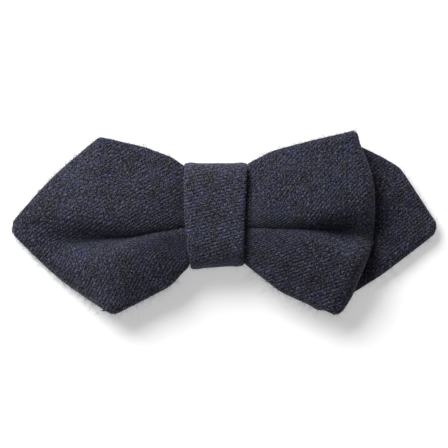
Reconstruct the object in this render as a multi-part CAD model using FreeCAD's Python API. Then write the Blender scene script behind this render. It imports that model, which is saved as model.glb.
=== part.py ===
import FreeCAD, Part
import math
import os

# A pre-tied, diamond-point clip-on bow tie lying on its back.
# X runs to the right, Y up the bow, Z out of its front. The origin is the centre of the
# knot band's back face, which is the face that the bow tie rests on.

V = FreeCAD.Vector
X_AXIS = V(1, 0, 0)
Y_AXIS = V(0, 1, 0)

# ---- Driving dimensions, millimetres ----

# Cloth
cloth = 0.8                  # one ply of woollen cloth
canvas = 0.8                 # interlining between the two plies of a ribbon
seam_allowance = 2.6         # cloth turned in round each ribbon, past the interlining

# Knot band
knot_width = 19.0            # along X at the top of the knot
knot_height = 31.2           # along Y, over the cloth
knot_taper = 1.5             # how much narrower each side is at the bottom
band_ply = 0.6               # each of the band's two plies
band_canvas = 0.4            # the band's own interlining
band_corner = 3.6            # outer corner radius of the band's section
band_back_gap = 1.0          # between the band's two ends, where they are sewn together
band_seam_y = -7.5           # that seam's middle

# Thread
thread = 0.6                 # waxed binding thread round the waist
stitch_thread = 0.5          # sewing thread
binding_turns = 5
slack = 0.05                 # clearance each side of a thread or pin

# Front ribbon: the left pointed wing and the right folded loop
left_tip_x = -61.6           # corner of the wing's point, before it is rounded
left_tip_y = -3.6
left_shoulder_x = -34.6      # the wing's widest place
left_shoulder_top = 23.4
left_shoulder_bottom = -30.3
right_fold_x = 48.0          # outermost reach of the right loop's fold
right_loop_top = 25.4
right_loop_bottom = -32.0
right_loop_height = 6.4      # between the loop's two legs, middle to middle

# Rear ribbon: the right pointed wing and the left folded loop
right_tip_x = 67.3
right_tip_y = -3.6
right_shoulder_x = 55.2
right_shoulder_top = 14.6
left_fold_x = -35.6
left_loop_top = 19.5
left_loop_bottom = -29.2
left_loop_height = 5.2

# Clip
plate_length = 48.0
plate_width = 9.0
plate_thickness = 0.8
hinge_reach = 11.8           # from the middle of the bow to each hinge pin
pin_radius = 0.5
pin_height = 1.0             # hinge axis above the rest plane
pin_head_radius = 0.8
pin_head_thickness = 0.35
arm_sheet = 0.5
arm_side_gap = 0.3           # between an arm's cheek and the plate's ear
ear_radius = 0.9
spring_wire = 0.34
spring_turns = 5
sewing_hole_radius = 0.6

# ---- Worked out from them ----
ribbon = 2 * cloth + canvas
band = 2 * band_ply + band_canvas
thread_room = thread + 2 * slack
plate_bottom = band
plate_top = plate_bottom + plate_thickness
stack_bottom = plate_top + thread_room
layer = ribbon + slack       # one ribbon's share of the stack in the waist
stack_top = stack_bottom + 4 * layer - slack
knot_depth = stack_top + thread_room + band
waist_half = knot_height / 2 - band - thread_room
waist_corner = band_corner - band - thread_room
knot_left = -knot_width / 2
knot_right = knot_width / 2
knot_top = knot_height / 2
neck = knot_width / 2 + 0.3  # where the ribbons come out of the band
flare = 1.2                  # over which they spread from the waist to the knot's height

rear_mid = stack_bottom + 0.5 * ribbon  # rear ribbon, lower layer
rear_return_mid = rear_mid + layer      # rear ribbon, end of the left loop
front_return_mid = rear_mid + 2 * layer  # front ribbon, end of the right loop
front_mid = rear_mid + 3 * layer        # front ribbon, upper layer

left_loop_upper = rear_mid + left_loop_height
wing_over_loop = left_loop_upper + layer
right_loop_lower = rear_mid + layer
right_loop_upper = right_loop_lower + right_loop_height


def rounded_wire(corners, closed):
    """Straight edges between corners (point, radius), joined by tangent arcs."""
    count = len(corners)
    edges = []
    previous_end = None
    first_start = None
    for i, (point, radius) in enumerate(corners):
        at_end = not closed and i in (0, count - 1)
        if at_end or radius == 0:
            start = end = point
        else:
            before = (corners[i - 1][0] - point).normalize()
            after = (corners[(i + 1) % count][0] - point).normalize()
            inside = before.getAngle(after)
            reach = radius / math.tan(inside / 2)
            start = point + before * reach
            end = point + after * reach
        if previous_end is not None and previous_end.distanceToPoint(start) > 1e-6:
            edges.append(Part.LineSegment(previous_end, start).toShape())
        if start.distanceToPoint(end) > 1e-6:
            bisector = (before + after).normalize()
            middle = point + bisector * (radius / math.sin(inside / 2) - radius)
            edges.append(Part.Arc(start, middle, end).toShape())
        if first_start is None:
            first_start = start
        previous_end = end
    if closed and previous_end.distanceToPoint(first_start) > 1e-6:
        edges.append(Part.LineSegment(previous_end, first_start).toShape())
    return Part.Wire(edges)


def outline_prism(corners, inset=0.0):
    """A tall prism on an XY outline, drawn in by inset."""
    wire = rounded_wire([(V(x, y, -5), r) for x, y, r in corners], True)
    face = Part.Face(wire)
    if inset:
        face = face.makeOffset2D(-inset)
    return face.extrude(V(0, 0, knot_depth + 10))


def offset_path(path, distance):
    """An XZ path (x, z, radius) moved sideways to its left by distance."""
    points = [V(x, 0, z) for x, z, _ in path]
    normals = []
    for a, b in zip(points, points[1:]):
        along = (b - a).normalize()
        normals.append(V(-along.z, 0, along.x))
    moved = [(points[0] + normals[0] * distance, 0)]
    for i in range(1, len(points) - 1):
        n0, n1 = normals[i - 1], normals[i]
        turn = n0.z * n1.x - n0.x * n1.z
        miter = (n0 + n1) * (distance / (1 + n0.dot(n1)))
        side = -1 if turn < 0 else 1
        moved.append((points[i] + miter, path[i][2] + side * distance))
    moved.append((points[-1] + normals[-1] * distance, 0))
    return moved


def ply(path, low, high, half_width):
    """A layer of a ribbon between two offsets of its path, spread along Y."""
    upper = offset_path(path, high)
    lower = offset_path(path, low)
    corners = upper + lower[::-1]
    corners[0] = (corners[0][0], 0)
    face = Part.Face(rounded_wire(corners, True))
    face.translate(V(0, -half_width, 0))
    return face.extrude(V(0, 2 * half_width, 0))


def section_loop(grow, x_low, x_high, corner):
    """A bar with the gathered waist's rounded section, grown by grow."""
    half = waist_half + grow
    low = stack_bottom - grow
    high = stack_top + grow
    corners = [
        (V(x_low, -half, low), corner), (V(x_low, half, low), corner),
        (V(x_low, half, high), corner), (V(x_low, -half, high), corner),
    ]
    return Part.Face(rounded_wire(corners, True)).extrude(V(x_high - x_low, 0, 0))


def waist_corners():
    """What the band's rounded section leaves no room for at the waist."""
    around = Part.makeBox(2 * neck, 4 * knot_top, knot_depth + 2, V(-neck, -2 * knot_top, -1))
    return around.cut(section_loop(0, -neck, neck, waist_corner))


def ribbon_plies(path, outline_corners):
    """The ply on the path's left, the interlining shut in, and the ply on its right.

    outline_corners(x) gives the XY outline with the fold moved out by x, so that the
    interlining keeps clear of the seams but runs on round the fold."""
    half_width = knot_height + 10
    outline = outline_prism(outline_corners(0))
    inner = outline_prism(outline_corners(seam_allowance + 1), seam_allowance)
    canvas_half = canvas / 2
    edge = ribbon / 2
    core = ply(path, -canvas_half, canvas_half, half_width).common(inner)
    left_side = ply(path, 0, edge, half_width).common(outline).cut(core)
    right_side = ply(path, -edge, 0, half_width).common(outline).cut(core)
    return [piece.cut(waist_corners()) for piece in (left_side, core, right_side)]


def one_solid(shape):
    """The largest solid of a shape, with its coplanar faces merged."""
    return max(shape.removeSplitter().Solids, key=lambda solid: solid.Volume)


def front_ribbon():
    """Left pointed wing, waist, and the right loop folded under itself."""
    tip_flat = 5.0
    path = [
        (left_tip_x - 4, ribbon / 2, 0),
        (left_tip_x + tip_flat, ribbon / 2, 12.0),
        (left_fold_x - 3, wing_over_loop, 14.0),
        (-neck - 10, wing_over_loop, 14.0),
        (-neck, front_mid, 14.0),
        (neck + 2, front_mid, 14.0),
        (neck + 18, right_loop_upper, 14.0),
        (right_fold_x - ribbon / 2, right_loop_upper, right_loop_height / 2 - 0.05),
        (right_fold_x - ribbon / 2, right_loop_lower, right_loop_height / 2 - 0.05),
        (neck + 16, right_loop_lower, 14.0),
        (neck + 2, front_return_mid, 14.0),
        (-knot_width / 4, front_return_mid, 0),
    ]

    def corners(out):
        fold = right_fold_x + out
        return [
            (-neck, waist_half, 0), (-neck - flare, knot_top - 0.6, 0),
            (left_shoulder_x, left_shoulder_top, 2.4), (left_tip_x, left_tip_y, 1.6),
            (left_shoulder_x + 4, left_shoulder_bottom, 2.4), (-neck - flare, -knot_top + 0.6, 0),
            (-neck, -waist_half, 0), (neck, -waist_half, 0),
            (neck + flare, -knot_top + 0.6, 0), (fold - 11.0, right_loop_bottom, 2.4),
            (fold + 4.1, 1.0, 50.0), (fold - 6.0, right_loop_top, 2.0),
            (neck + flare, knot_top - 0.3, 0), (neck, waist_half, 0),
        ]

    return ribbon_plies(path, corners)


def rear_ribbon():
    """Right pointed wing, waist, and the left loop folded over itself."""
    path = [
        (right_tip_x + 4, rear_mid, 0),
        (left_fold_x + ribbon / 2, rear_mid, left_loop_height / 2 - 0.05),
        (left_fold_x + ribbon / 2, left_loop_upper, left_loop_height / 2 - 0.05),
        (-neck - 14, left_loop_upper, 14.0),
        (-neck - 2, rear_return_mid, 14.0),
        (knot_width / 4, rear_return_mid, 0),
    ]

    def corners(out):
        fold = left_fold_x - out
        return [
            (-neck, waist_half, 0), (-neck - flare, knot_top - 0.9, 0),
            (fold, left_loop_top, 1.6), (fold, left_loop_bottom, 1.6),
            (-neck - flare, -knot_top + 0.9, 0), (-neck, -waist_half, 0),
            (neck, -waist_half, 0), (neck + flare, -knot_top + 0.9, 0),
            (neck + 22, -27.2, 3.0), (right_tip_x, right_tip_y - 0.9, 1.8),
            (right_shoulder_x, right_shoulder_top, 5.0), (neck + 32, 21.8, 3.0),
            (neck + flare, knot_top - 0.9, 0), (neck, waist_half, 0),
        ]

    return ribbon_plies(path, corners)


def knot_band_parts(plate):
    """The cloth band round the waist, open at the back seam, and its interlining."""
    inner_corner = band_corner - band

    def ring(inside, outside, inset):
        width = knot_width / 2 - inset
        bars = []
        for distance in (inside, outside):
            grow = thread_room + distance
            half = waist_half + grow
            corners = [
                (V(-width, -half, plate_bottom - distance), inner_corner + distance),
                (V(-width, half, plate_bottom - distance), inner_corner + distance),
                (V(-width, half, stack_top + grow), inner_corner + distance),
                (V(-width, -half, stack_top + grow), inner_corner + distance),
            ]
            face = Part.Face(rounded_wire(corners, True))
            bars.append(face.extrude(V(2 * width, 0, 0)))
        shell = bars[1].cut(bars[0])
        side = [
            (knot_left + inset, knot_top + 2, 0), (knot_right - inset, knot_top + 2, 0),
            (knot_right - inset - knot_taper, -knot_top - 2, 0),
            (knot_left + inset + knot_taper, -knot_top - 2, 0),
        ]
        return shell.common(outline_prism(side))

    seam = Part.makeBox(knot_width + 2, band_back_gap, band + 0.2)
    seam.translate(V(-knot_width / 2 - 1, band_seam_y - band_back_gap / 2, -0.1))
    core = ring(band_ply, band_ply + band_canvas, 1.4).cut(seam)
    cloth_band = ring(0, band, 0).cut(seam).cut(core)
    return one_solid(cloth_band.cut(plate)), one_solid(core)


def binding_thread():
    """Turns of thread pulled tight round the gathered waist, under the band."""
    pitch = thread + 2 * slack
    start = -pitch * (binding_turns - 1) / 2 - thread / 2
    turns = []
    for i in range(binding_turns):
        x = start + i * pitch
        outer = section_loop(slack + thread, x, x + thread, waist_corner + thread)
        inner = section_loop(slack, x, x + thread, waist_corner)
        turns.append(outer.cut(inner))
    return Part.makeCompound(turns)


def along_y(radius, length, x, z):
    """A round bar along Y, centred on y = 0."""
    return Part.makeCylinder(radius, length, V(x, -length / 2, z), Y_AXIS)


def prism_y(points, width):
    """An XZ polygon spread along Y, centred on y = 0."""
    wire = Part.makePolygon([V(x, -width / 2, z) for x, z in points + points[:1]])
    return Part.Face(wire).extrude(V(0, width, 0))


ear_inside = plate_width / 2 - plate_thickness
cheek_outside = ear_inside - arm_side_gap
window_half = ear_inside - 0.1
window_reach = ear_radius + 0.45


def clip_plate():
    """The steel bar behind the waist, with ears for both hinges and a jaw at each end."""
    half_length = plate_length / 2
    jaw_tooth = 0.12
    bar = outline_prism([
        (-half_length, -plate_width / 2, 2.5), (half_length, -plate_width / 2, 2.5),
        (half_length, plate_width / 2, 2.5), (-half_length, plate_width / 2, 2.5),
    ])
    slab = Part.makeBox(plate_length + 2, plate_width + 2, plate_thickness)
    slab.translate(V(-half_length - 1, -plate_width / 2 - 1, plate_bottom))
    plate = bar.common(slab)
    for side in (-1, 1):
        hinge = side * hinge_reach
        for y in (-1, 1):
            ear_y = y * (plate_width / 2 - plate_thickness / 2)
            ear = Part.makeCylinder(ear_radius, plate_thickness,
                                    V(hinge, ear_y - plate_thickness / 2, pin_height), Y_AXIS)
            root = Part.makeBox(2 * ear_radius, plate_thickness, plate_top - pin_height)
            root.translate(V(hinge - ear_radius, ear_y - plate_thickness / 2, pin_height))
            plate = plate.fuse(ear).fuse(root)
        window = Part.makeBox(2 * window_reach, 2 * window_half, plate_thickness + 1)
        window.translate(V(hinge - window_reach, -window_half, plate_bottom - 0.5))
        plate = plate.cut(window)
        plate = plate.cut(along_y(pin_radius, plate_width + 2, hinge, pin_height))
        for x in (0.35, 0.62):
            for y in (-1, 1):
                hole = Part.makeCylinder(sewing_hole_radius, plate_thickness + 1,
                                         V(side * x * knot_width / 2, y * plate_width / 4,
                                           plate_bottom - 0.5))
                plate = plate.cut(hole)
        for i in range(3):
            x = side * (half_length - 2.2 - i * 0.8)
            ridge = prism_y([(x - 0.3, plate_bottom + 0.01), (x + 0.3, plate_bottom + 0.01),
                             (x, plate_bottom - jaw_tooth)], plate_width - 4)
            plate = plate.fuse(ridge)
    return plate.removeSplitter()


def right_arm():
    """The sprung lower jaw: cheeks on the hinge pin, a channel, a gripping lip and a lift tab."""
    width = 2 * cheek_outside
    low = pin_height - pin_radius
    root = hinge_reach + window_reach + 0.2
    end = plate_length / 2 + 0.8
    jaw_x = plate_length / 2 - 3.0
    jaw_gap = 0.32
    jaw_top = plate_bottom - jaw_gap
    lip = 0.25
    sheet = [
        (root, low), (jaw_x - 2.2, low), (jaw_x, jaw_top - arm_sheet),
        (end - 1.6, jaw_top - arm_sheet), (end, lip), (end, lip + arm_sheet),
        (end - 1.6 + 0.1, jaw_top), (jaw_x - 0.1, jaw_top), (jaw_x - 2.3, low + arm_sheet),
        (root, low + arm_sheet),
    ]
    arm = prism_y(sheet, width - 1.0)
    flange_top = plate_bottom - arm_side_gap
    for y in (-1, 1):
        cheek_y = y * (cheek_outside - arm_sheet / 2)
        cheek = Part.makeCylinder(ear_radius - 0.05, arm_sheet,
                                  V(hinge_reach, cheek_y - arm_sheet / 2, pin_height), Y_AXIS)
        rail = prism_y([(hinge_reach, low - 0.3), (root + 0.2, low), (jaw_x - 2.2, low),
                        (jaw_x - 2.2, low + 0.55), (jaw_x - 4.0, flange_top),
                        (hinge_reach, flange_top)], arm_sheet)
        rail.translate(V(0, cheek_y, 0))
        arm = arm.fuse(cheek).fuse(rail)
    corner_cut = outline_prism([
        (hinge_reach - 3, -width / 2, 0), (end, -width / 2, 1.8),
        (end, width / 2, 1.8), (hinge_reach - 3, width / 2, 0),
    ])
    arm = arm.common(corner_cut)
    arm = arm.cut(along_y(pin_radius + slack, width + 2, hinge_reach, pin_height))
    return one_solid(arm)


def right_pin():
    """The hinge pin, peened over outside both ears."""
    pin = along_y(pin_radius, plate_width, hinge_reach, pin_height)
    for y in (-1, 1):
        start = y * plate_width / 2
        head = Part.makeCylinder(pin_head_radius, pin_head_thickness,
                                 V(hinge_reach, start, pin_height), Y_AXIS * y)
        pin = pin.fuse(head)
    return one_solid(pin)


def right_spring():
    """A torsion spring on the pin: one leg under the arm, one under the plate."""
    wire_radius = spring_wire / 2
    coil_radius = pin_radius + slack + wire_radius
    pitch = spring_wire * 1.35
    lift = 35.0
    height = pitch * (spring_turns + lift / 360)
    helix = Part.makeHelix(pitch, height, coil_radius)
    profile = Part.Wire(Part.makeCircle(wire_radius, V(coil_radius, 0, 0), Y_AXIS))
    coil = Part.Wire(helix.Edges).makePipeShell([profile], True, True)
    coil.rotate(V(0, 0, 0), X_AXIS, -90)
    coil.rotate(V(0, 0, 0), Y_AXIS, 90)
    coil.translate(V(hinge_reach, -height / 2, pin_height))
    outer_leg = Part.makeCylinder(wire_radius, window_reach + 3.2,
                                  V(hinge_reach, -height / 2, pin_height - coil_radius), X_AXIS)
    rise, run = math.sin(math.radians(lift)), math.cos(math.radians(lift))
    inner_start = V(hinge_reach - coil_radius * rise, height / 2, pin_height - coil_radius * run)
    inner_leg = Part.makeCylinder(wire_radius, window_reach + 0.1, inner_start, V(-run, 0, rise))
    return coil.fuse(outer_leg).fuse(inner_leg)


def mirrored(shape):
    """The same piece on the other side of the bow."""
    return shape.mirror(V(0, 0, 0), X_AXIS)


def clip_stitches():
    """Tacks through the band's back, the plate's sewing holes and the rear ribbon."""
    radius = stitch_thread / 2
    low = stitch_thread
    high = stack_bottom + cloth
    tacks = []
    for side in (-1, 1):
        for x in (0.35, 0.62):
            legs = []
            for y in (-1, 1):
                legs.append(Part.makeCylinder(radius, high - low,
                                              V(side * x * knot_width / 2, y * plate_width / 4, low)))
            bar = along_y(radius, plate_width / 2, side * x * knot_width / 2, low)
            tacks.append(legs[0].fuse(legs[1]).fuse(bar))
    return tacks


def closing_stitches():
    """Whip stitches across the band's back seam."""
    radius = stitch_thread / 2
    count = 5
    pitch = (knot_width - 2 * knot_taper - 3) / count
    span = band_back_gap + 3.0
    stitches = []
    for i in range(count):
        x = (i - (count - 1) / 2) * pitch
        start = V(x - 0.35, band_seam_y - span / 2, radius + slack)
        stitches.append(Part.makeCylinder(radius, span, start, V(0.7, span, 0)))
    return stitches


def cut_all(shape, tools):
    for tool in tools:
        shape = shape.cut(tool)
    return shape


plate = clip_plate()
tacks = clip_stitches()
whips = closing_stitches()
band_cloth, band_core = knot_band_parts(plate)
front_face, front_core, front_under = front_ribbon()
rear_under, rear_core, rear_face = rear_ribbon()
whips = [cut_all(whip, tacks) for whip in whips]

nodes = {
    "front_bow_face": one_solid(front_face),
    "front_bow_interlining": one_solid(front_core),
    "front_bow_underside": one_solid(front_under),
    "rear_bow_face": one_solid(rear_face),
    "rear_bow_interlining": one_solid(rear_core),
    "rear_bow_underside": one_solid(cut_all(rear_under, tacks)),
    "knot_band": one_solid(cut_all(band_cloth, tacks + whips)),
    "knot_band_interlining": one_solid(cut_all(band_core, tacks + whips)),
    "waist_binding_thread": binding_thread(),
    "knot_closing_stitches": Part.makeCompound(whips),
    "clip_stitches": Part.makeCompound(tacks),
    "clip_base_plate": plate,
    "right_clip_arm": right_arm(),
    "right_hinge_pin": right_pin(),
    "right_arm_spring": right_spring(),
}
for name in ("clip_arm", "hinge_pin", "arm_spring"):
    nodes["left_" + name] = mirrored(nodes["right_" + name])

os.makedirs("parts", exist_ok=True)
for name, shape in nodes.items():
    box = shape.BoundBox
    print(f"{name:24} valid={shape.isValid()} solids={len(shape.Solids)} vol={shape.Volume:9.2f}"
          f" x {box.XMin:.2f}..{box.XMax:.2f} y {box.YMin:.2f}..{box.YMax:.2f}"
          f" z {box.ZMin:.2f}..{box.ZMax:.2f}")
    shape.exportStep(os.path.join("parts", name + ".step"))
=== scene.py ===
import math

import bmesh
import bpy
import numpy as np
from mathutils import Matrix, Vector


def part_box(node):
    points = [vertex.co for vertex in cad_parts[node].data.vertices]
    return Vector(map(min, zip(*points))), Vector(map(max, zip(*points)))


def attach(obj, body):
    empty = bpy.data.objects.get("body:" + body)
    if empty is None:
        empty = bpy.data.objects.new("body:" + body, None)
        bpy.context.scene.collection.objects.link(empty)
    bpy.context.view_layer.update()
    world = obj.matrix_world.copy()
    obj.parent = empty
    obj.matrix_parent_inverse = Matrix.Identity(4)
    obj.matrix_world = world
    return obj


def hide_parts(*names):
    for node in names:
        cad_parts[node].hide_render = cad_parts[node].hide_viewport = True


# A pre-tied, diamond-point bow tie in flecked navy wool, lying on its back.
#
# It is two ribbons, one over the other, gathered at the waist under a knot band. The front
# ribbon is the left wing and the right loop, the rear one the right wing and the left loop.
# Each is a grid of points on its middle surface, from which its face cloth, its underside cloth
# and its canvas are made.
#
# Shapes are worked out in millimetres, in the frame's own axes, and turned into metres when a
# mesh is made. Weave and fibres are textures and thin strands over those shapes.

MM = 0.001

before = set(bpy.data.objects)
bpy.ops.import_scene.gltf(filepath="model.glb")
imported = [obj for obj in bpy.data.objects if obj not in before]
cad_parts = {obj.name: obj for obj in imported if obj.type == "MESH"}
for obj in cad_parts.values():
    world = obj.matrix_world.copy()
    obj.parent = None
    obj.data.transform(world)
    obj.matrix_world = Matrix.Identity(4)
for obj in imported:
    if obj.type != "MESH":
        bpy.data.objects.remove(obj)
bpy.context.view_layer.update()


def node_box(node):
    """A CAD node's lowest and highest corners, in millimetres."""
    low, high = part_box(node)
    return np.array(low) / MM, np.array(high) / MM


knot_low, knot_high = node_box("knot_band")
front_low, front_high = node_box("front_bow_face")
_, rear_high = node_box("rear_bow_face")

# ---- Sizes ----

# Ribbons, in millimetres
THICK = 2.2            # a ribbon of two plies and its interlining, pressed
PLY = 0.75             # one ply of cloth
SEAM_WIDTH = 4.2       # cloth turned in along each edge, felt as a low ridge
SEAM_RIDGE = 0.22      # how high that ridge is
PUCKER = 0.24          # height of the cloth's hand-pressed unevenness, about 7 mm across
WRINKLE = 0.08         # height of its small lumps, about 3 mm across
FRONT_FOLD = 3.1       # radius of the right loop's fold
REAR_FOLD = 2.2        # radius of the hidden left loop's fold
ROOT_ROWS = 6          # rows of the hidden loop's upper leg left out, inside the knot

# Grids
HALF_COLUMNS = 64      # columns of points from a ribbon's crease to its seam
WING_ROWS = 150        # rows of points along a wing
LEG_ROWS = 84          # rows along each leg of a folded loop
LEG_DRAFT_ROWS = 90    # rows of the leg before it is cut to end at the fold
FOLD_ROWS = 20         # rows round a fold
LEG_END_ROWS = 4       # rows of the lower leg left out, inside the knot
CANVAS_STEP = 3        # the canvas uses every third row and column
BAND_ROWS = 190        # rows round the knot band
BAND_HALF_COLUMNS = 20 # columns from the band's middle to its side

# Knot band, in millimetres
BAND = 1.5             # thickness
KNOT_SLANT = 1.3       # how much lower the band's bottom edge is at its left end
KNOT_CROWN = 0.35      # how far the band's front bulges
KNOT_PAINTED_LIGHT = 0.28       # painted light: how much lighter its cloth is painted than the ribbons', for the light it catches
KNOT_WARP = 14         # slope of its warp, in degrees
KNOT_CLOTH = 95        # where on the flat cloth its seam lies, along the band
BACK_SEAM = 4.418      # where round the band its two ends meet, in radians

# Loose fibres, in millimetres
FIBRE = 0.028          # a fibre's radius at its root
FIBRE_ROOT = 0.15      # how deep it starts in the cloth
RINGS = 5              # rings of three points along a fibre
ABOVE_FLOOR = 0.03     # no fibre goes lower than this
BORDER = 1.2           # within this of a seam, fibres are longer and closer together
CROWDING = 24          # how many more fibres a border has for each one elsewhere
KNOT_REACH = 11        # borders this near the middle are no more crowded than elsewhere
FRONT_FIBRES = 5250
REAR_FIBRES = 1280
BAND_FIBRES = 1100


# ---- Small mathematics ----

def curve(*points):
    """A smooth function through (x, y) points, level past both ends."""
    px, py = np.array(points, float).T
    slope = np.diff(py) / np.diff(px)
    middle = np.where(slope[:-1] * slope[1:] > 0, (slope[:-1] + slope[1:]) / 2, 0)
    tangent = np.concatenate([slope[:1], middle, slope[-1:]])

    def value(x):
        x = np.clip(x, px[0], px[-1])
        i = np.clip(np.searchsorted(px, x) - 1, 0, len(px) - 2)
        width = px[i + 1] - px[i]
        t = (x - px[i]) / width
        start = (2 * t**3 - 3 * t**2 + 1) * py[i] + (t**3 - 2 * t**2 + t) * width * tangent[i]
        end = (3 * t**2 - 2 * t**3) * py[i + 1] + (t**3 - t**2) * width * tangent[i + 1]
        return start + end

    return value


def ease(x, low, high):
    """Goes smoothly from 0 at low to 1 at high."""
    t = np.clip((x - low) / (high - low), 0, 1)
    return t * t * (3 - 2 * t)


def ripple(x, y, size, seed):
    """A smooth, repeatable unevenness between about -1 and 1, with lumps about size across."""
    draw = np.random.default_rng(seed)
    total = np.zeros(np.broadcast(x, y).shape)
    waves = 9
    for _ in range(waves):
        angle = draw.uniform(0, 2 * math.pi)
        rate = 2 * math.pi / (size * draw.uniform(1.4, 3.2))
        phase = draw.uniform(0, 2 * math.pi)
        total += np.sin(rate * (x * math.cos(angle) + y * math.sin(angle)) + phase)
    return total / waves**0.5 / 1.4


def spaced(count, *dense):
    """Values from 0 to 1, closer together near each (place, width, gain) in dense."""
    fine = np.linspace(0, 1, 4001)
    density = np.ones_like(fine)
    for place, width, gain in dense:
        density += gain * np.exp(-((fine - place) / width) ** 2)
    total = np.concatenate([[0], np.cumsum((density[1:] + density[:-1]) / 2)])
    return np.interp(np.linspace(0, total[-1], count), total, fine)


def outline(*corners):
    """A dense open line through corners (x, y, radius), rounded at each inner corner."""
    points = [np.array(c[:2], float) for c in corners]
    line = [points[0]]
    for before, corner, after, (_, _, radius) in zip(points, points[1:], points[2:], corners[1:]):
        if radius == 0:
            line.append(corner)
            continue
        a = (before - corner) / np.linalg.norm(before - corner)
        b = (after - corner) / np.linalg.norm(after - corner)
        half = math.acos(np.clip(a @ b, -1, 1)) / 2
        reach = radius / math.tan(half)
        centre = corner + (a + b) / np.linalg.norm(a + b) * radius / math.sin(half)
        start = corner + a * reach - centre
        end = corner + b * reach - centre
        for t in np.linspace(0, 1, 9):
            turn = math.pi - 2 * half
            p = (math.sin((1 - t) * turn) * start + math.sin(t * turn) * end) / math.sin(turn)
            line.append(centre + p)
    line.append(points[-1])
    return np.array(line)


def along(line, fraction):
    """Points at given fractions of a line's length in X."""
    x = line[0, 0] + (line[-1, 0] - line[0, 0]) * fraction
    order = np.argsort(line[:, 0])
    return np.stack([x, np.interp(x, line[order, 0], line[order, 1])], -1)


def edge_distance(points, line):
    """Each point's distance in XY to an open line."""
    best = np.full(points.shape[:-1], 1e9)
    for a, b in zip(line, line[1:]):
        step = b - a
        length = step @ step
        if length < 1e-9:
            continue
        t = np.clip(((points[..., :2] - a) @ step) / length, 0, 1)
        gap = points[..., :2] - (a + t[..., None] * step)
        best = np.minimum(best, np.sqrt((gap**2).sum(-1)))
    return best


# ---- Meshes ----

WELD = 0.004           # points closer than this are merged, in millimetres


def grid_normals(points):
    """Unit normals of a grid of points, on the side that faces up on a flat, rising grid."""
    du = np.gradient(points, axis=0)
    dv = np.gradient(points, axis=1)
    normal = np.cross(du, dv)
    length = np.linalg.norm(normal, axis=-1, keepdims=True)
    return normal / np.maximum(length, 1e-9)


def make_mesh(name, vertices, faces, attributes=None, weld=0.0):
    """A smooth-shaded object from millimetre vertices, with float attributes per vertex."""
    mesh = bpy.data.meshes.new(name)
    mesh.from_pydata((np.asarray(vertices) * MM).tolist(), [], faces)
    for key, values in (attributes or {}).items():
        values = np.asarray(values, np.float32)
        kind = "FLOAT" if values.ndim == 1 else "FLOAT_VECTOR"
        layer = mesh.attributes.new(key, kind, "POINT")
        layer.data.foreach_set("value" if kind == "FLOAT" else "vector", values.ravel())
    obj = bpy.data.objects.new(name, mesh)
    bpy.context.scene.collection.objects.link(obj)
    if weld:
        bm = bmesh.new()
        bm.from_mesh(mesh)
        bmesh.ops.remove_doubles(bm, verts=bm.verts, dist=weld * MM)
        bmesh.ops.dissolve_degenerate(bm, dist=weld * MM / 5, edges=bm.edges)
        bmesh.ops.recalc_face_normals(bm, faces=bm.faces)
        bm.to_mesh(mesh)
        bm.free()
    mesh.polygons.foreach_set("use_smooth", [True] * len(mesh.polygons))
    mesh.update()
    return obj


def shell(name, grid, upper, lower, flat, painted_light=0.0):
    """A closed sheet between two offsets of a grid along its normals.

    flat is each point's place on the flat cloth, and pale how much lighter this piece is painted
    to stand in for the light it catches."""
    nu, nv, _ = grid.shape
    normals = grid_normals(grid)
    top = grid + normals * upper[..., None]
    bottom = grid + normals * lower[..., None]
    vertices = np.concatenate([top.reshape(-1, 3), bottom.reshape(-1, 3)])
    index = np.arange(nu * nv).reshape(nu, nv)
    below = nu * nv        # from a point on top to the one under it
    faces = []
    for i in range(nu - 1):
        for j in range(nv - 1):
            a, b, c, d = index[i, j], index[i + 1, j], index[i + 1, j + 1], index[i, j + 1]
            faces.append((int(a), int(b), int(c), int(d)))
            faces.append((int(a + below), int(d + below), int(c + below), int(b + below)))
    rim = [(index[0, j], index[0, j + 1]) for j in range(nv - 1)]
    rim += [(index[-1, j + 1], index[-1, j]) for j in range(nv - 1)]
    rim += [(index[i + 1, 0], index[i, 0]) for i in range(nu - 1)]
    rim += [(index[i, -1], index[i + 1, -1]) for i in range(nu - 1)]
    for a, b in rim:
        faces.append((int(a), int(b), int(b + below), int(a + below)))
    attributes = {
        "flat": np.concatenate([flat.reshape(-1, 3)] * 2),
        # Painted light: one lightening for the whole piece, read by the wool material
        "painted_light": np.full(2 * nu * nv, painted_light),
    }
    return make_mesh(name, vertices, faces, attributes, weld=WELD)


def rolled(edge, half):
    """How far a ribbon's surface stands off its middle, rolled in to nothing at the seam."""
    roll = half * 1.15
    t = np.clip(edge / roll, 0, 1)
    ridge = SEAM_RIDGE * np.exp(-((edge - SEAM_WIDTH * 0.5) / (SEAM_WIDTH * 0.33)) ** 2)
    return half * np.sqrt(1 - (1 - t) ** 2) + ridge


# ---- The two ribbons' outlines, seen from the front ----

left_tip = front_low[0]
right_tip = rear_high[0]
fold_x = front_high[0] + 0.4    # the right loop's fold, at its furthest
neck_left = knot_low[0] + 0.1   # where the ribbons go under the band
neck_right = knot_high[0] + 0.2
waist = knot_high[1] - 2.4      # half height of the gathered waist inside the band

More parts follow.
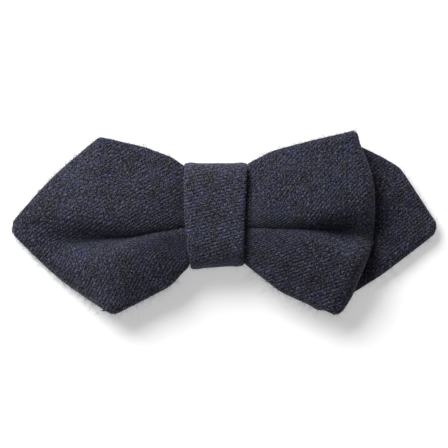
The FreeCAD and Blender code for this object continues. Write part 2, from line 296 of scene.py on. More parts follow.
wing_top = outline(
    (0, waist, 0), (neck_left + 1.4, waist, 0), (neck_left - 0.3, 14.6, 0), (-13.2, 17.0, 8),
    (-21.0, 19.9, 14), (-34.6, 23.1, 2.2), (-49.3, 11.0, 110), (-60.6, -1.6, 1.0),
    (left_tip, -3.7, 0))
wing_bottom = outline(
    (0, -waist, 0), (neck_left + 2.4, -waist, 0), (neck_left + 1.0, -16.2, 0), (-13.6, -21.7, 9),
    (-30.4, -30.4, 2.6), (-47.5, -18.6, 80), (-60.4, -6.0, 1.0), (left_tip, -3.7, 0))
loop_top = outline(
    (0, waist, 0), (neck_right - 1.2, waist, 0), (neck_right + 0.6, 15.2, 0), (16.8, 18.6, 10),
    (28.1, 21.7, 20), (42.4, 25.0, 0))
loop_bottom = outline(
    (0, -waist, 0), (neck_right - 2.6, -waist, 0), (neck_right - 0.6, -15.0, 0), (19.5, -23.3, 20),
    (28.4, -27.4, 26), (36.4, -30.1, 0))
loop_fold = curve((-30.3, 36.4), (-26.5, 39.9), (-17.7, 44.0), (-9.9, 47.0), (-1, fold_x),
                  (5.5, 48.0), (14.1, 46.4), (21.3, 43.4), (25.1, 42.4))
rear_top = outline(
    (0, waist, 0), (neck_right - 1.2, waist, 0), (neck_right + 0.6, 14.2, 0), (28.0, 19.6, 10),
    (42.4, 21.3, 8), (50.4, 17.4, 8), (55.7, 14.2, 7), (66.5, -2.2, 1.0), (right_tip, -3.9, 0))
rear_bottom = outline(
    (0, -waist, 0), (neck_right - 2.6, -waist, 0), (neck_right - 0.6, -14.0, 0), (32.0, -29.6, 4),
    (50.5, -17.8, 40), (65.9, -5.9, 1.0), (right_tip, -3.9, 0))
hidden_top = outline(
    (0, waist, 0), (neck_left + 1.4, waist, 0), (neck_left - 0.3, 14.0, 0), (-33.6, 20.4, 0))
hidden_bottom = outline(
    (0, -waist, 0), (neck_left + 2.4, -waist, 0), (neck_left + 1.0, -14.8, 0), (-34.4, -29.1, 0))
hidden_fold = curve((-29.1, -34.4), (-15, -34.9), (0, -35.3), (12, -34.8), (20.4, -33.6))

# The creases' heights, by distance from the knot
crease_left = curve(
    (0, -3.6), (10, -4.6), (20, -6.4), (30, -8.2), (36, -8.4), (44, -7.0), (52, -4.6))
crease_right = curve(
    (0, -3.4), (12, -3.0), (18, -3.7), (23, -5.8), (28, -7.0), (38, -6.8), (57, -4.0))

# Places across a ribbon: 0 is the crease, -1 and 1 the seams
half_across = spaced(HALF_COLUMNS, (0, 0.10, 7), (1, 0.05, 7))
across_ribbon = np.concatenate([-half_across[::-1], half_across[1:]])


def lobes(out, top, bottom, crease, shape):
    """A ribbon's cross-sections: two soft lobes with a crease between them.

    out is how far each section is from the knot. shape gives curves over out: heights of the
    crest and the edge and widths of the crease's wall, as a pair for the upper and the lower
    lobe, then the crease's depth and how far the upper lobe hangs over it."""
    w = across_ribbon[None, :]
    out = out[:, None]
    upper = w > 0
    middle = crease(out)
    reach_up = np.maximum(top[:, 1:2] - middle, 0.02)
    reach_down = np.maximum(middle - bottom[:, 1:2], 0.02)
    gap = np.where(upper, w * reach_up, -w * reach_down)
    share = np.abs(w)
    crest, edge, wall = (np.where(upper, shape[k][0](out), shape[k][1](out))
                         for k in ("crest", "edge", "wall"))
    valley = (shape["crest"][0](out) + shape["crest"][1](out)) / 2 - shape["depth"](out)
    z = crest - (crest - valley) * np.exp(-(gap / wall) ** 2.1) - (crest - edge) * share ** 2.6
    lean = shape["overhang"](out) * np.exp(-((gap - 0.9 * wall) / (0.85 * wall)) ** 2)
    lean = lean * (1 - np.exp(-(gap / 0.25) ** 2)) * upper
    y = np.where(upper, middle + gap - lean, middle - gap)
    height = (y - bottom[:, 1:2]) / np.maximum(top[:, 1:2] - bottom[:, 1:2], 0.04)
    height = np.clip(height, 0, 1)
    x = bottom[:, 0:1] + (top[:, 0:1] - bottom[:, 0:1]) * height
    return np.stack([x, y, z], -1), height


def uneven(points, seed):
    """Adds the small hollows and puckers of hand-pressed wool, away from the knot."""
    x, y = points[..., 0], points[..., 1]
    bumps = PUCKER * ripple(x, y, 7.0, seed) + WRINKLE * ripple(x, y, 2.6, seed + 1)
    points = points.copy()
    points[..., 2] += ease(np.abs(x), 9, 14) * bumps
    return points


def to_fold(line_top, line_bottom, fold, crease, shape, side, seed):
    """The upper leg of a folded loop, from the middle of the waist out to the fold line.

    side is 1 for the right and -1 for the left."""
    f = spaced(LEG_DRAFT_ROWS, (0.24, 0.03, 4))
    top, bottom = along(line_top, f), along(line_bottom, f)
    neck = neck_right if side > 0 else -neck_left
    out = np.maximum(side * (top[:, 0] + bottom[:, 0]) / 2 - neck, -9)
    points, height = lobes(out, top, bottom, crease, shape)
    end_y = bottom[-1, 1] + (top[-1, 1] - bottom[-1, 1]) * height
    end_x = bottom[-1, 0] + (top[-1, 0] - bottom[-1, 0]) * height
    points[..., 0] += (fold(end_y) - end_x) * f[:, None] ** 2
    return uneven(points, seed)


def folded(upper, lower_z, radius, side):
    """Joins an upper leg round a fold to a lower leg under it, which stops inside the knot.

    lower_z(out) is the lower leg's height, out from the knot."""
    neck = neck_right if side > 0 else -neck_left
    lines = []
    for j in range(upper.shape[1]):
        line = upper[:, j]
        reach = line[-1, 0] - side * (radius + THICK / 2)
        x = line[0, 0] + (reach - line[0, 0]) * np.linspace(0, 1, LEG_ROWS) ** 0.9
        order = np.argsort(line[:, 0])
        y, z = (np.interp(x, line[order, 0], line[order, k]) for k in (1, 2))
        there = np.stack([x, y, z], -1)
        low = lower_z(side * x - neck) + 0.2 * ripple(x, y, 9.0, seed=31)
        back = np.stack([x, y, low], -1)
        turn = np.linspace(0, math.pi, FOLD_ROWS + 2)[1:-1]
        middle, half = (z[-1] + low[-1]) / 2, (z[-1] - low[-1]) / 2
        fold = np.stack([reach + side * radius * np.sin(turn),
                         y[-1] + (line[-1, 1] - y[-1]) * np.sin(turn),
                         middle + half * np.cos(turn)], -1)
        lines.append(np.concatenate([there, fold, back[::-1][:-LEG_END_ROWS]]))
    return np.stack(lines, 1)


def to_tip(line_top, line_bottom, crease, shape, side, seed):
    """A pointed wing, from the middle of the waist out to its point."""
    f = spaced(WING_ROWS, (1.0, 0.03, 6), (0.16, 0.02, 4), (0.57, 0.03, 1))
    top, bottom = along(line_top, f), along(line_bottom, f)
    neck = neck_right if side > 0 else -neck_left
    out = np.maximum(side * top[:, 0] - neck, -9)
    points, _ = lobes(out, top, bottom, crease, shape)
    return uneven(points, seed)


# Each part's cross-sections, as lobes takes them
wing_shape = {
    "crest": (
        curve((-9, 11.0), (0, 12.1), (6, 13.7), (14, 14.3), (22, 13.6), (30, 11.6), (38, 8.0),
              (45, 4.4), (52, 1.2)),
        curve((-9, 11.0), (0, 11.8), (6, 13.0), (14, 13.3), (22, 12.3), (30, 9.6), (38, 6.2),
              (45, 3.6), (52, 1.2))),
    "edge": (
        curve((0, 9.4), (6, 9.0), (14, 8.5), (26, 8.1), (34, 5.0), (43, 2.3), (52, 1.2)),
        curve((0, 9.2), (6, 8.6), (14, 8.1), (22, 7.7), (28, 3.6), (34, 2.0), (40, 1.4),
              (52, 1.2))),
    "wall": (
        curve((0, 0.9), (10, 1.3), (18, 2.6), (26, 4.6), (33, 5.8), (52, 7)),
        curve((0, 1.1), (10, 1.9), (18, 3.2), (26, 4.4), (36, 5.4), (52, 7))),
    "depth": curve((-9, 1.6), (0, 4.2), (8, 5.4), (18, 6.4), (26, 6.8), (33, 6.4), (39, 4.4),
                   (45, 1.4), (50, 0)),
    "overhang": curve((0, 1.3), (8, 2.0), (15, 2.3), (21, 1.5), (26, 0.5), (30, 0)),
}
loop_shape = {
    "crest": (
        curve((-9, 11.0), (0, 12.1), (6, 13.8), (16, 14.6), (28, 14.2), (39, 13.0)),
        curve((-9, 11.0), (0, 11.8), (6, 13.0), (16, 13.7), (28, 13.2), (39, 12.2))),
    "edge": (
        curve((0, 9.6), (8, 10.0), (20, 10.5), (34, 10.4)),
        curve((0, 9.2), (8, 9.0), (20, 8.9), (34, 8.9))),
    "wall": (
        curve((0, 0.9), (10, 1.1), (16, 1.8), (21, 3.4), (26, 5.2), (36, 6.5)),
        curve((0, 1.3), (10, 2.1), (18, 3.2), (26, 4.2), (36, 5.0))),
    "depth": curve((-9, 1.6), (0, 4.2), (8, 5.4), (18, 6.4), (25, 6.6), (30, 5.2), (34, 3.2),
                   (38, 1.6)),
    "overhang": curve((0, 1.3), (8, 1.9), (15, 2.0), (19, 1.2), (24, 0)),
}
no_overhang = curve((0, 0), (10, 0))
hidden_shape = {
    "crest": (
        curve((-9, 5.8), (-3, 6.4), (0, 8.2), (6, 10.2), (14, 10.6), (22, 9.6), (27, 8.2)),
        curve((-9, 5.8), (-3, 6.4), (0, 8.0), (6, 9.8), (14, 9.9), (22, 8.6), (27, 7.2))),
    "edge": (
        curve((-9, 5.8), (0, 6.8), (14, 6.1), (27, 5.7)),
        curve((-9, 5.8), (0, 6.6), (14, 5.8), (27, 5.5))),
    "wall": wing_shape["wall"],
    "depth": curve((-9, 0.5), (0, 2.4), (8, 4.4), (18, 4.6), (27, 2.4)),
    "overhang": no_overhang,
}
rear_shape = {
    "crest": (
        curve((-9, 3.5), (0, 3.7), (20, 4.1), (38, 4.5), (48, 4.2), (57, 2.6)),
        curve((-9, 3.5), (0, 3.7), (20, 4.1), (38, 4.4), (48, 4.0), (57, 2.6))),
    "edge": (
        curve((-9, 3.4), (20, 3.6), (40, 3.7), (57, 2.6)),
        curve((-9, 3.4), (20, 3.5), (40, 3.2), (57, 2.6))),
    "wall": (curve((0, 5), (57, 8)), curve((0, 5), (57, 8))),
    "depth": curve((0, 0.3), (30, 0.3), (50, 0)),
    "overhang": no_overhang,
}
right_lower_leg = curve((-9, 8.2), (-3, 8.4), (0, 8.4), (7, 7.4), (16, 6.3), (44, 6.3))
left_lower_leg = curve((-9, 3.3), (30, 3.3))

left_wing = to_tip(wing_top, wing_bottom, crease_left, wing_shape, side=-1, seed=11)
right_upper_leg = to_fold(
    loop_top, loop_bottom, loop_fold, crease_right, loop_shape, side=1, seed=23)
right_loop = folded(right_upper_leg, right_lower_leg, FRONT_FOLD, side=1)
front_grid = np.concatenate([left_wing[::-1], right_loop[1:]])

left_upper_leg = to_fold(
    hidden_top, hidden_bottom, hidden_fold, crease_left, hidden_shape, side=-1, seed=37)
left_loop = folded(left_upper_leg, left_lower_leg, REAR_FOLD, side=-1)
right_wing = to_tip(rear_top, rear_bottom, crease_right, rear_shape, side=1, seed=41)
rear_grid = np.concatenate([left_loop[ROOT_ROWS:], right_wing[1:]])


def seam_distance(grid, *lines):
    """How far each point is from the nearest seam, and nothing on the first and last rows."""
    gap = np.minimum.reduce([edge_distance(grid, line) for line in lines])
    gap[:, 0] = 0
    gap[:, -1] = 0
    return gap


front_edge = seam_distance(front_grid, wing_top, wing_bottom, loop_top, loop_bottom)
rear_edge = seam_distance(rear_grid, rear_top, rear_bottom, hidden_top, hidden_bottom)


def unrolled(grid, side):
    """X along a grid that ends in a folded loop, running on round the fold instead of back."""
    x, z = grid[..., 0], grid[..., 2]
    turn = WING_ROWS + LEG_ROWS - 2
    run = np.cumsum(np.hypot(np.diff(x, axis=0), np.diff(z, axis=0)), axis=0)
    onward = x[turn] + side * (run[turn:] - run[turn - 1])
    return np.concatenate([x[:turn + 1], onward])


def cloth_coordinates(points, x_along, ends, warps, fan):
    """Where each point lies on the flat cloth, in millimetres along and across its warp.

    A crease takes up a wedge of cloth that opens from the crease's outer end to the knot, so the
    threads turn by fan degrees each way either side of it. x_along is X without the fold's
    return, ends are the creases' outer ends and warps the warp's slopes in degrees, both for
    left and right."""
    side = np.where(x_along < 0, -1.0, 1.0)
    end_x, end_y, warp = (np.where(side < 0, left, right)
                          for left, right in zip((*ends[0], warps[0]), (*ends[1], warps[1])))
    dx = (end_x - x_along) * side
    dy = points[..., 1] - end_y
    radius = np.hypot(dx, dy)
    angle = np.arctan2(dy, dx)
    turned = angle + math.radians(fan) * np.tanh(angle / 0.12) * (1 - (angle / math.pi) ** 2)
    x, y = end_x - side * radius * np.cos(turned), radius * np.sin(turned)
    c, s = np.cos(np.radians(warp)), np.sin(np.radians(warp))
    return np.stack([x * c + y * s, -x * s + y * c, np.zeros_like(x)], -1)


def ribbon(name, grid, edge, flat):
    """A ribbon's face cloth and underside cloth, sewn together at the seam."""
    half = rolled(edge, THICK / 2)
    inner = np.minimum((THICK / 2 - PLY) * ease(edge, 1.5, 5) + 0.02, half * 0.5)
    face = shell(name + "_face_cloth", grid, half, inner, flat)
    under = shell(name + "_underside_cloth", grid, -inner, -half, flat)
    return face, under


def interlining(name, grid, edge, flat):
    """The canvas between a ribbon's plies, all but gone where the seams are."""
    half = np.where(edge > SEAM_WIDTH * 0.6, THICK / 2 - PLY - 0.04, 0.004)
    grid, half, flat = (values[::CANVAS_STEP, ::CANVAS_STEP] for values in (grid, half, flat))
    return shell(name, grid, half, -half, flat)


crease_ends = ((-49.0, -8.3), (46.0, -4.5))
front_along = unrolled(front_grid, side=1)
rear_along = unrolled(rear_grid[::-1], side=-1)[::-1]
front_flat = cloth_coordinates(front_grid, front_along, crease_ends, warps=(46.5, 35.0), fan=16.0)
rear_flat = cloth_coordinates(rear_grid, rear_along, crease_ends, warps=(46.5, 36.5), fan=0.0)
front_face, front_under = ribbon("front_bow", front_grid, front_edge, front_flat)
rear_face, rear_under = ribbon("rear_bow", rear_grid, rear_edge, rear_flat)
front_core = interlining("front_bow_canvas", front_grid, front_edge, front_flat)
rear_core = interlining("rear_bow_canvas", rear_grid, rear_edge, rear_flat)

# ---- Knot ----

knot_left_side = curve((-15.6, -7.2), (-8, -8.5), (0, -9.2), (15.6, -9.3))
knot_right_side = curve((-15.6, 8.7), (0, 9.1), (15.6, 9.9))


def knot_grid():
    """The band's middle surface, from one of its sewn ends round the waist to the other.

    Also gives how far each point is from the nearest edge, and its place on the flat cloth."""
    seam_gap = 0.04
    around = BACK_SEAM + np.linspace(seam_gap, 2 * math.pi - seam_gap, BAND_ROWS)
    half_y = knot_high[1] - BAND / 2 - 0.35
    low, high = knot_low[2] + BAND / 2 + 0.3, knot_high[2] - BAND / 2
    c, s = np.cos(around), np.sin(around)
    front = s > 0
    roundness = np.where(front, 0.74, 0.30)
    y = half_y * np.sign(c) * np.abs(c) ** 0.5
    z = (low + high) / 2 + (high - low) / 2 * np.sign(s) * np.abs(s) ** roundness
    across = spaced(BAND_HALF_COLUMNS, (1, 0.12, 6))
    across = np.concatenate([-across[::-1], across[1:]])[None, :]
    left, right = knot_left_side(y)[:, None], knot_right_side(y)[:, None]
    x = left + (right - left) * (across + 1) / 2
    crown = KNOT_CROWN * (1 - across ** 2) * front[:, None]
    leftness = (knot_high[0] - x) / (knot_high[0] - knot_low[0])
    slant = KNOT_SLANT * np.minimum(y[:, None] / half_y, 0) * leftness
    grid = np.stack([x, y[:, None] + slant, z[:, None] + crown], -1)
    grid[..., 2] += front[:, None] * 0.12 * ripple(x, grid[..., 1], 5.0, seed=53)
    step = np.linalg.norm(np.diff(grid[:, grid.shape[1] // 2], axis=0), axis=-1)
    run = np.concatenate([[0], np.cumsum(step)])[:, None]
    to_side = (right - left) / 2 * (1 - np.abs(across))
    edge = np.minimum(to_side, np.minimum(run, run[-1] - run))
    warp = math.radians(KNOT_WARP)
    up = np.broadcast_to(KNOT_CLOTH - run, x.shape)
    flat = np.stack([x * math.cos(warp) + up * math.sin(warp),
                     up * math.cos(warp) - x * math.sin(warp), np.zeros_like(x)], -1)
    return grid, edge, flat


band_grid, band_edge, band_flat = knot_grid()
band_half = rolled(band_edge, BAND / 2)
# The band's cloth is painted lighter than the ribbons, as painted light for the light it catches
knot = shell("knot_band_cloth", band_grid, band_half, -band_half, band_flat, painted_light=KNOT_PAINTED_LIGHT)

# ---- Loose fibres that stand out of the wool ----


def unit(vectors):
    """The same directions with length 1."""
    return vectors / np.linalg.norm(vectors, axis=-1, keepdims=True)


def fuzz(name, patches, seed):
    """Fine curved fibres on some grids' upper faces, given as (grid, half, edge, count).

    Where edge is under BORDER, away from the knot, the fibres stand closer together."""
    draw = np.random.default_rng(seed)
    roots, ups, borders = [], [], []
    for grid, half, edge, count in patches:
        normals = grid_normals(grid)
        top = grid + normals * half[..., None]
        corner = top[:-1, :-1]
        area = np.linalg.norm(np.cross(top[1:, :-1] - corner, top[:-1, 1:] - corner), axis=-1)
        bordering = edge < BORDER
        crowded = bordering & (np.abs(grid[..., 0]) > KNOT_REACH)
        facing_up = normals[..., 2] > -0.2
        weight = area * (1 + CROWDING * crowded[:-1, :-1]) * facing_up[:-1, :-1]
        picked = draw.choice(weight.size, count, p=weight.ravel() / weight.sum())
        i, j = np.unravel_index(picked, weight.shape)
        a, b = draw.random((2, count, 1))
        start = top[i, j]
        roots.append(start + a * (top[i + 1, j] - start) + b * (top[i, j + 1] - start))
        ups.append(normals[i, j])
        borders.append(bordering[i, j])
    root, up = np.concatenate(roots), np.concatenate(ups)
    border = np.concatenate(borders)[:, None]
    count = len(root)

    around = unit(np.cross(up, draw.normal(size=(count, 3))))
    lean = unit(around + up * draw.uniform(0.1, 0.8, (count, 1)))
    length = 0.5 + (0.9 + 2.2 * border) * draw.random((count, 1)) ** 2
    bend = np.clip(draw.normal(size=(count, 3)), -1.5, 1.5) * 0.8
    curl = np.clip(draw.normal(size=(count, 3)), -1.5, 1.5) * 0.9
    side = unit(np.cross(lean, up))
    other = np.cross(lean, side)
    points = []
    for t in np.linspace(0, 1, RINGS):
        path = lean * t + bend * t * t + curl * t * t * (t - 0.6)
        centre = root - up * FIBRE_ROOT + length * path
        radius = FIBRE * (1 - 0.7 * t)
        for turn in (0, 2 * math.pi / 3, 4 * math.pi / 3):
            points.append(centre + radius * (side * math.cos(turn) + other * math.sin(turn)))
    vertices = np.stack(points, 1)
    vertices[..., 2] = np.maximum(vertices[..., 2], ABOVE_FLOOR)

    per_fibre = 3 * RINGS
    shape = [(0, 2, 1), (per_fibre - 3, per_fibre - 2, per_fibre - 1)]
    for ring in range(RINGS - 1):
        for k in range(3):
            a, b = 3 * ring + k, 3 * ring + (k + 1) % 3
            shape.append((a, b, b + 3, a + 3))
    faces = [tuple(int(n * per_fibre + k) for k in face) for n in range(count) for face in shape]
    tone = np.repeat(draw.random(count), per_fibre)
    return make_mesh(name, vertices.reshape(-1, 3), faces, {"tone": tone})


wing_edge = rear_edge[-len(right_wing):]
fibres = fuzz("wool_fuzz", (
    (front_grid, rolled(front_edge, THICK / 2), front_edge, FRONT_FIBRES),
    (right_wing, rolled(wing_edge, THICK / 2), wing_edge, REAR_FIBRES),
    # The band's borders lie against the ribbons, so none counts as a border here
    (band_grid, band_half, band_edge + 2, BAND_FIBRES),
), seed=77)

# ---- Materials ----


class Nodes:
    """Short names for building one material's node tree."""

    def __init__(self, name):
        self.material = bpy.data.materials.new(name)
        self.material.use_nodes = True
        self.tree = self.material.node_tree
        self.shader = self.tree.nodes["Principled BSDF"]

    def add(self, kind, inputs=None, **settings):
        node = self.tree.nodes.new(kind)
        for key, value in settings.items():
            setattr(node, key, value)
        for key, value in (inputs or {}).items():
            if isinstance(value, bpy.types.NodeSocket):
                self.tree.links.new(value, node.inputs[key])
            else:
                node.inputs[key].default_value = value
        return node

    def math(self, operation, a, b=0.0, c=0.0):
        return self.add("ShaderNodeMath", {0: a, 1: b, 2: c}, operation=operation).outputs[0]

    def vector(self, operation, a, b):
        return self.add("ShaderNodeVectorMath", {0: a, 1: b}, operation=operation).outputs[0]

    def noise(self, vector, scale, detail=2.0, rough=0.5, distortion=0.0):
        return self.add("ShaderNodeTexNoise", {
            "Vector": vector, "Scale": scale, "Detail": detail, "Roughness": rough,
            "Distortion": distortion})

    def ramp(self, value, *stops):
        node = self.add("ShaderNodeValToRGB", {"Fac": value})
        elements = node.color_ramp.elements
        while len(elements) < len(stops):
            elements.new(0.5)
        for element, (place, colour) in zip(elements, stops):
            element.position = place
            element.color = (*colour, 1)
        return node.outputs["Color"]

    def mix(self, factor, a, b, blend="MIX"):
        node = self.add("ShaderNodeMix", data_type="RGBA", blend_type=blend)
        for socket, value in ((node.inputs[0], factor), (node.inputs[6], a), (node.inputs[7], b)):
            if isinstance(value, bpy.types.NodeSocket):
                self.tree.links.new(value, socket)
            elif isinstance(value, tuple):
                socket.default_value = (*value, 1)
            else:
                socket.default_value = value
        return node.outputs[2]

    def set(self, **values):
        """Sets or links the shader's own sockets, named with _ for each space."""
        for key, value in values.items():
            socket = self.shader.inputs[key.replace("_", " ")]
            if isinstance(value, bpy.types.NodeSocket):
                self.tree.links.new(value, socket)
            else:
                socket.default_value = value


def wool(name, warp_pitch=0.96, weft_pitch=1.15):
    """Plain-woven, brushed melange wool: paler warp floats over a darker navy and brown weft.

    It lies in the "flat" attribute's millimetres, warp along X. Pitches are in millimetres."""
    n = Nodes(name)
    flat = n.add("ShaderNodeAttribute", attribute_name="flat").outputs["Vector"]

    # Threads wander a little from straight
    wander = n.noise(flat, 0.55, 2.0).outputs["Color"]
    shift = n.vector("SUBTRACT", wander, (0.5, 0.5, 0.5))
    shift = n.add("ShaderNodeVectorMath", {0: shift, "Scale": 0.55}, operation="SCALE")
    placed = n.vector("ADD", flat, shift.outputs[0])
    split = n.add("ShaderNodeSeparateXYZ", {0: placed})
    along_warp = n.math("DIVIDE", split.outputs["X"], weft_pitch)
    across_warp = n.math("DIVIDE", split.outputs["Y"], warp_pitch)

    # Warp and weft change places from cell to cell, each float a low dome
    column, row = n.math("FLOOR", along_warp), n.math("FLOOR", across_warp)
    parity = n.math("FLOORED_MODULO", n.math("ADD", column, row), 2.0)
    u = n.math("SUBTRACT", n.math("FRACT", along_warp), 0.5)
    v = n.math("SUBTRACT", n.math("FRACT", across_warp), 0.5)
    fall_along = n.math("MULTIPLY", n.math("MULTIPLY", u, u), 1.5)
    fall_across = n.math("MULTIPLY", n.math("MULTIPLY", v, v), 3.1)
    dome = n.math("SUBTRACT", 1.0, n.math("ADD", fall_along, fall_across))
    float_height = n.math("MAXIMUM", dome, 0.0)

    # Each float's own tone, the fibres in it, and painted shade in the dip round it
    cell = n.add("ShaderNodeCombineXYZ", {
        "X": n.math("MULTIPLY", column, 0.37), "Y": row, "Z": n.math("MULTIPLY", parity, 7.3)})
    tuft = n.add("ShaderNodeTexWhiteNoise", {"Vector": cell.outputs[0]}, noise_dimensions="3D")
    speck = n.math("MULTIPLY_ADD", tuft.outputs["Value"], 0.6, 0.65)
    drawn_out = n.vector("MULTIPLY", placed, (0.6, 1.0, 1.0))
    fibre_noise = n.noise(drawn_out, 2.9, 2.0, 0.9, 0.3).outputs["Fac"]
    fleck = n.math("MAXIMUM", n.math("MULTIPLY_ADD", fibre_noise, 14.0, -6.3), 0.10)
    # Painted shade: each float is darker towards its edges, where it dips under its neighbours
    painted_dip_shade = n.math("MULTIPLY_ADD", float_height, 0.60, 0.37)
    # Painted light: the knot's cloth is made lighter for the light it catches
    painted_light = n.add("ShaderNodeAttribute", attribute_name="painted_light").outputs["Fac"]
    painted_light_factor = n.math("ADD", painted_light, 1.0)
    # Tone per float and fibre, times the painted shade in the dips and the knot's painted light
    light = n.math("MULTIPLY", n.math("MULTIPLY", speck, fleck),
                   n.math("MULTIPLY", painted_dip_shade, painted_light_factor))
    light = n.add("ShaderNodeCombineColor", {"Red": light, "Green": light, "Blue": light})

    # Colours drift along the yarns, and over patches of the cloth
    shade = n.noise(flat, 0.35, 3.0, 0.62).outputs["Fac"]
    patches = n.noise(flat, 0.16, 3.0, 0.6).outputs["Fac"]
    dye = n.noise(flat, 0.13, 2.0, 0.6).outputs["Fac"]
    warp_colour = n.ramp(shade,
                         (0.34, (0.034, 0.030, 0.036)), (0.45, (0.042, 0.041, 0.056)),
                         (0.56, (0.036, 0.040, 0.072)), (0.68, (0.058, 0.057, 0.070)))
    weft_colour = n.ramp(patches,
                         (0.34, (0.018, 0.018, 0.030)), (0.47, (0.027, 0.023, 0.026)),
                         (0.57, (0.023, 0.026, 0.050)), (0.68, (0.034, 0.029, 0.031)))
    dyed = n.ramp(dye,
                  (0.36, (0.70, 0.64, 0.62)), (0.47, (1, 1, 1.2)),
                  (0.54, (1, 1, 1.2)), (0.68, (0.84, 1.0, 1.5)))
    base = n.mix(1.0, n.mix(parity, warp_colour, weft_colour), dyed, "MULTIPLY")
    colour = n.mix(1.0, base, light.outputs[0], "MULTIPLY")

    # Pale fibre ends on the surface, also painted lighter on the knot by its painted light
    dust = n.noise(placed, 2.9, 2.0, 0.8).outputs["Fac"]
    dust = n.math("MAXIMUM", n.math("MULTIPLY_ADD", dust, 6.2, -3.34), 0.0)
    dust = n.math("MINIMUM", dust, 0.80)
    colour = n.mix(dust, colour, n.vector("MULTIPLY", painted_light_factor, (0.185, 0.190, 0.235)))

    height = n.math("MULTIPLY_ADD", fibre_noise, 0.35, float_height)
    bump = n.add("ShaderNodeBump", {"Strength": 0.75, "Distance": 0.00028, "Height": height})
    n.set(Base_Color=colour, Roughness=0.92, Normal=bump.outputs[0], Specular_IOR_Level=0.18,
          Sheen_Weight=0.12, Sheen_Roughness=0.5, Sheen_Tint=(0.55, 0.62, 0.85, 1))
    return n.material


def fibre_material(name):
    """Single wool fibres, from dark navy to nearly white."""
    n = Nodes(name)
    tone = n.add("ShaderNodeAttribute", attribute_name="tone").outputs["Fac"]
    colour = n.ramp(tone, (0.0, (0.03, 0.03, 0.05)), (0.4, (0.10, 0.11, 0.15)),
                    (1.0, (0.34, 0.35, 0.39)))
    n.set(Base_Color=colour, Roughness=0.7)
    return n.material


def steel(name, tint, roughness, scratch):
    """Plated steel with drawn scratches and faint smears."""
    n = Nodes(name)
    place = n.add("ShaderNodeTexCoord").outputs["Object"]
    stretched = n.add("ShaderNodeMapping", {"Vector": place, "Scale": (300.0, 9000.0, 9000.0)})
    lines = n.noise(stretched.outputs[0], 1.0, 3.0).outputs["Fac"]
    smear = n.noise(place, 350.0, 3.0).outputs["Fac"]
    colour = n.ramp(smear, (0.3, tuple(0.78 * t for t in tint)), (0.7, tint))
    rough = n.math("MULTIPLY_ADD", lines, 0.22, roughness)
    bump = n.add("ShaderNodeBump", {"Strength": scratch, "Distance": 0.00002, "Height": lines})
    n.set(Base_Color=colour, Metallic=1.0, Roughness=rough, Normal=bump.outputs[0])
    return n.material


def thread_material(name):
    """Waxed, twisted sewing thread."""
    n = Nodes(name)
    place = n.add("ShaderNodeTexCoord").outputs["Object"]
    twist = n.add("ShaderNodeTexWave", {"Vector": place, "Scale": 700.0, "Distortion": 1.5},
                  bands_direction="DIAGONAL")
    twist = twist.outputs["Fac"]
    colour = n.ramp(twist, (0.2, (0.006, 0.006, 0.012)), (0.8, (0.028, 0.029, 0.045)))
    bump = n.add("ShaderNodeBump", {"Strength": 0.6, "Distance": 0.00008, "Height": twist})
    n.set(Base_Color=colour, Roughness=0.6, Normal=bump.outputs[0])
    return n.material


def canvas_material(name):
    """Unbleached interlining canvas."""
    n = Nodes(name)
    flat = n.add("ShaderNodeAttribute", attribute_name="flat").outputs["Vector"]
    weave = n.noise(flat, 2.2, 3.0).outputs["Fac"]
    colour = n.ramp(weave, (0.3, (0.42, 0.39, 0.32)), (0.7, (0.62, 0.59, 0.51)))
    bump = n.add("ShaderNodeBump", {"Strength": 0.5, "Distance": 0.0001, "Height": weave})
    n.set(Base_Color=colour, Roughness=0.9, Normal=bump.outputs[0])
    return n.material


wool_material = wool("flecked_navy_wool")
canvas = canvas_material("interlining_canvas")
thread = thread_material("waxed_thread")
plate_steel = steel("plated_steel", (0.62, 0.62, 0.64), 0.24, 0.25)
pin_steel = steel("pin_steel", (0.50, 0.50, 0.52), 0.30, 0.15)
spring_steel = steel("spring_steel", (0.36, 0.36, 0.39), 0.28, 0.10)


def dress(obj, material):
    """Gives an object this material and no other."""
    obj.data.materials.clear()
    obj.data.materials.append(material)


for piece in (front_face, front_under, rear_face, rear_under, knot):
    dress(piece, wool_material)
    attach(piece, "bow")
dress(fibres, fibre_material("wool_fibre"))
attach(fibres, "bow")
for piece in (front_core, rear_core):
    dress(piece, canvas)
    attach(piece, "bow")

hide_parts("front_bow_face")
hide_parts("front_bow_underside")
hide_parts("front_bow_interlining")
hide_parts("rear_bow_face")
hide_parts("rear_bow_underside")
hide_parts("rear_bow_interlining")
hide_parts("knot_band", "knot_band_interlining")

node_materials = {
    "waist_binding_thread": thread, "knot_closing_stitches": thread, "clip_stitches": thread,
    "clip_base_plate": plate_steel, "left_clip_arm": plate_steel, "right_clip_arm": plate_steel,
    "left_hinge_pin": pin_steel, "right_hinge_pin": pin_steel,
    "left_arm_spring": spring_steel, "right_arm_spring": spring_steel,
}
for node, material in node_materials.items():
    dress(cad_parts[node], material)

# ---- Floor, light and camera, in metres ----


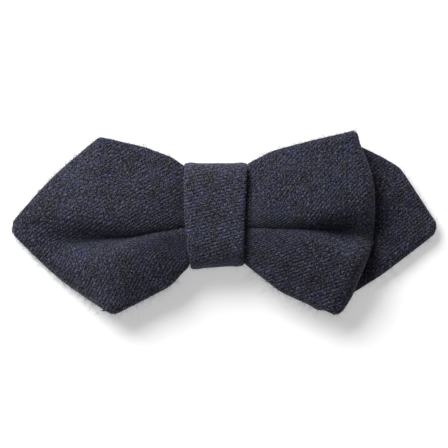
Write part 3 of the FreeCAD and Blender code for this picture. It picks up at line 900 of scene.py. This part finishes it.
def floor(size=3.0, drop=0.00002, glow=0.40):
    """White paper that glows a little, just under the tie and reaching size each way."""
    mesh = bpy.data.meshes.new("floor")
    corners = [(-size, -size, 0), (size, -size, 0), (size, size, 0), (-size, size, 0)]
    mesh.from_pydata(corners, [], [(0, 1, 2, 3)])
    obj = bpy.data.objects.new("floor", mesh)
    obj.location.z = -drop
    bpy.context.scene.collection.objects.link(obj)
    n = Nodes("white_paper")
    place = n.add("ShaderNodeTexCoord").outputs["Object"]
    tone = n.noise(place, 40.0, 2.0).outputs["Fac"]
    n.set(Base_Color=n.ramp(tone, (0.0, (0.93, 0.93, 0.935)), (1.0, (0.96, 0.96, 0.96))),
          Roughness=0.9, Emission_Color=(1, 1, 1, 1), Emission_Strength=glow)
    dress(obj, n.material)


def area_light(name, place, size, power):
    """A square light that faces the tie."""
    light = bpy.data.lights.new(name, "AREA")
    light.size = size
    light.energy = power
    obj = bpy.data.objects.new(name, light)
    obj.location = place
    obj.rotation_euler = (-Vector(place)).to_track_quat("-Z", "Y").to_euler()
    bpy.context.scene.collection.objects.link(obj)


def look(target, distance, tilt, width):
    """A long-lensed camera tilt degrees off straight down, with width in its view."""
    data = bpy.data.cameras.new("camera")
    data.sensor_width = 36
    data.lens = data.sensor_width * distance / width
    data.clip_end = 20
    camera = bpy.data.objects.new("camera", data)
    tilt = math.radians(tilt)
    camera.location = Vector(target) + distance * Vector((0, -math.sin(tilt), math.cos(tilt)))
    camera.rotation_euler = (tilt, 0, 0)
    bpy.context.scene.collection.objects.link(camera)
    bpy.context.scene.camera = camera


floor()
area_light("window", place=(-0.60, 0.77, 0.80), size=0.85, power=20.9)
area_light("overhead", place=(0.0, -0.05, 1.3), size=0.9, power=1.0)

world = bpy.data.worlds.new("studio")
world.use_nodes = True
background = world.node_tree.nodes["Background"]
background.inputs["Color"].default_value = (1, 1, 1, 1)
background.inputs["Strength"].default_value = 0.10
bpy.context.scene.world = world
bpy.context.scene.view_settings.view_transform = "Standard"

look(target=(0.0027, -0.0030, 0.008), distance=1.6, tilt=3, width=0.1344)
